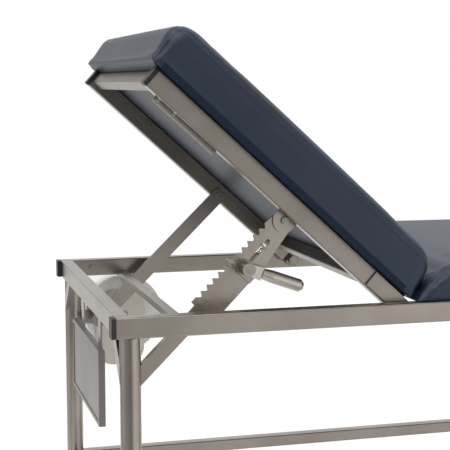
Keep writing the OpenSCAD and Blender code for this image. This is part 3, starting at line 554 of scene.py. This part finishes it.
def boxed_pad(name, length, width, height, lean, rise):
    """A stuffed pad with its seam, sizes in mm, with X along it and Z up from the board."""
    sizes = (mm(length), mm(width), mm(height), mm(lean))
    obj = slab(name, *sizes)
    remeshed(obj)
    rounded(obj, *sizes)
    inflate(obj)
    crown(obj, mm(length), mm(width), mm(height), mm(rise))
    smooth_skin(obj)
    half, top = mm(width) / 2, mm(height)
    def band_seam(p):
        """How far a point of the side band is from the seam."""
        inside = min(p.x, mm(length) - p.x, half - abs(p.y))
        return abs(p.z - top * SEAM_SHARE) if inside < SEAM_REACH else FAR_AWAY
    dent(obj, SEAM_DEPTH, SEAM_WIDTH, band_seam)
    return obj

def near_head_corner(p):
    """One at the seat's near head corner, less with distance from it and at the board."""
    off = ((p.x / SLACK_ALONG) ** 2 + ((p.y + mm(SEAT_WIDTH / 2)) / SLACK_ACROSS) ** 2)
    return math.exp(-off) * min(1, p.z / SLACK_UP)

seat = boxed_pad("seat_cushion", SEAT_END - SEAT_START, SEAT_WIDTH, SEAT_HEIGHT, SEAT_LEAN,
                 SEAT_CROWN)
creased(seat, WRINKLE_HEIGHT, WRINKLE_SIZE, near_head_corner)
for v in seat.data.vertices:
    x, y, z = in_mm(v.co)
    v.co = on_table(SEAT_START + x, y, SEAT_LIFT + z)
seat.data.materials.append(vinyl)
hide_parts("seat_pad")
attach(seat, "frame")
print("seat cushion", len(seat.data.vertices), "points")

# %% [markdown]
# The backrest pad is made the same way in its own flat frame, and then laid on the backrest
# tubes at 42 degrees. Its cover is folded to a tuck under each head corner, and its end
# flares out toward the top, where the foam stands past the board.

# %% Backrest pad
BACK_START, BACK_END, BACK_WIDTH = 9, 636, 684
BACK_HEIGHT, BACK_CROWN = 90, 8
# How far the pad's underside lies from the hinge's axis, and how far its end flares out.
BACK_SEAT, BACK_FLARE = 17.8, 16
# The share of the length at which the flare starts.
FLARE_START = 0.9
# The tuck runs up to this height and fades out above it, within this reach of the side.
TUCK_HEIGHT, TUCK_FADE, TUCK_REACH = mm(34), 0.8, mm(40)
TUCK_DEPTH, TUCK_WIDTH = mm(3.0), mm(5)

def head_corner_tuck(p):
    """How far a point is from the fold that runs in from each head corner."""
    side = mm(BACK_WIDTH / 2) - abs(p.y)
    far_end = mm(BACK_END - BACK_START) - p.x
    above = max(0, p.z - TUCK_HEIGHT)
    return abs(side - far_end) + above * TUCK_FADE if side < TUCK_REACH else FAR_AWAY

back = boxed_pad("back_cushion", BACK_END - BACK_START, BACK_WIDTH, BACK_HEIGHT, 0, BACK_CROWN)
dent(back, TUCK_DEPTH, TUCK_WIDTH, head_corner_tuck)
for v in back.data.vertices:
    along = v.co.x / mm(BACK_END - BACK_START)
    flared = max(0.0, along - FLARE_START) / (1 - FLARE_START)
    v.co.x += mm(BACK_FLARE) * flared * v.co.z / mm(BACK_HEIGHT)
    x, y, z = in_mm(v.co)
    v.co = on_back(BACK_START + x, y, BACK_SEAT + z)
# The backrest's frame is a mirror image of the pad's own, so the faces are turned back.
back.data.flip_normals()
back.data.materials.append(vinyl)
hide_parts("backrest_pad")
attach(back, "backrest")
print("back cushion", len(back.data.vertices), "points")

# %% [markdown]
# The table stands on a plain pale paper sweep that comes from behind it and ends just in
# front. Bare steel shows what is round it, so the room matters more than the lamps. It is
# bright behind and above the table, past its head end and at the photographer's right, and
# darker where the photographer stands. An even white room would be simpler, but then round
# and flat tubes look alike and dark vinyl turns grey. What the camera sees past the sweep is
# lit to white, and the Standard view keeps the paint card colours as they are.

# %% Sweep, room and overhead softbox
# Where the paper ends, in metres: before the table, to each side and behind.
SWEEP_FRONT, SWEEP_SIDE, SWEEP_BACK = 0.75, 1.8, 60.0
SWEEP_GLOW = 0.06
ROOM_LEVEL, BACKDROP = 0.4, 1.0
# Each part of the room: the way toward it, the cosines of the angle from there at which it
# fades in and is full, and how much it adds to the room's level.
ROOM_PARTS = {"behind": ((0.35, 0.93, 0.1), (0.5, 0.93), 0.42),
              "above": ((0.1, 0.5, 0.86), (0.6, 1.0), 0.3),
              "photographer": ((-0.12, -0.98, -0.1), (0.8, 1.0), -0.12),
              "front right": ((0.64, -0.76, -0.1), (0.76, 0.97), 0.66),
              "head end": ((-0.96, 0.2, 0.2), (0.7, 1.0), 0.5)}
# Strength, spread and tilt about X, Y and Z, the last two in degrees.
SOFTBOX = (1.75, 60, (16, -14, 0))

def overhead(name, strength, spread, tilt):
    """A far soft source: the same light everywhere, so the floor stays even."""
    data = bpy.data.lights.new(name, "SUN")
    data.energy, data.angle = strength, math.radians(spread)
    obj = bpy.data.objects.new(name, data)
    bpy.context.scene.collection.objects.link(obj)
    obj.rotation_euler = [math.radians(a) for a in tilt]

def paper_sweep():
    material, tree, shader, place = finish_of("studio_paper_sweep")
    shader.inputs["Base Color"].default_value = linear("#F6F6F5")
    shader.inputs["Roughness"].default_value = 0.9
    shader.inputs["Specular IOR Level"].default_value = 0.1
    shader.inputs["Emission Color"].default_value = linear("#FFFFFF")
    shader.inputs["Emission Strength"].default_value = SWEEP_GLOW
    mesh = bpy.data.meshes.new("paper_sweep")
    front = cad_box[0][1] - SWEEP_FRONT
    mesh.from_pydata([(-SWEEP_SIDE, front, 0), (SWEEP_SIDE, front, 0),
                      (SWEEP_SIDE, SWEEP_BACK, 0), (-SWEEP_SIDE, SWEEP_BACK, 0)], [],
                     [(0, 1, 2, 3)])
    mesh.materials.append(material)
    floor = bpy.data.objects.new("studio_floor", mesh)
    bpy.context.scene.collection.objects.link(floor)

def studio_room():
    """Grey surroundings with the parts of the room added, white where the camera looks."""
    world = bpy.data.worlds.new("studio")
    world.use_nodes = True
    tree = world.node_tree
    toward = add(tree, "ShaderNodeTexCoord").outputs["Generated"]
    level = None
    for side, reach, change in ROOM_PARTS.values():
        facing = add(tree, "ShaderNodeVectorMath", {"operation": "DOT_PRODUCT", 1: side})
        tree.links.new(toward, facing.inputs[0])
        part = add(tree, "ShaderNodeMapRange", {"interpolation_type": "SMOOTHSTEP",
                   "From Min": reach[0], "From Max": reach[1], "To Max": change},
                   Value=facing.outputs["Value"])
        total = add(tree, "ShaderNodeMath", {"operation": "ADD", 1: ROOM_LEVEL})
        tree.links.new(part.outputs["Result"], total.inputs[0])
        if level:
            tree.links.new(level, total.inputs[1])
        level = total.outputs["Value"]
    room = tree.nodes["Background"]
    tree.links.new(level, room.inputs["Strength"])
    backdrop = add(tree, "ShaderNodeBackground", {"Strength": BACKDROP})
    for shade in (room, backdrop):
        shade.inputs["Color"].default_value = (1, 1, 1, 1)
    seen = add(tree, "ShaderNodeLightPath").outputs["Is Camera Ray"]
    mixed = add(tree, "ShaderNodeMixShader")
    for socket, source in zip(mixed.inputs, (seen, room.outputs[0], backdrop.outputs[0])):
        tree.links.new(source, socket)
    tree.links.new(mixed.outputs[0], tree.nodes["World Output"].inputs["Surface"])
    bpy.context.scene.world = world

paper_sweep()
studio_room()
bpy.context.scene.view_settings.view_transform = "Standard"
overhead("overhead_softbox", *SOFTBOX)
print("studio ready, its room has the parts", ", ".join(ROOM_PARTS))

# %% The json module
import json
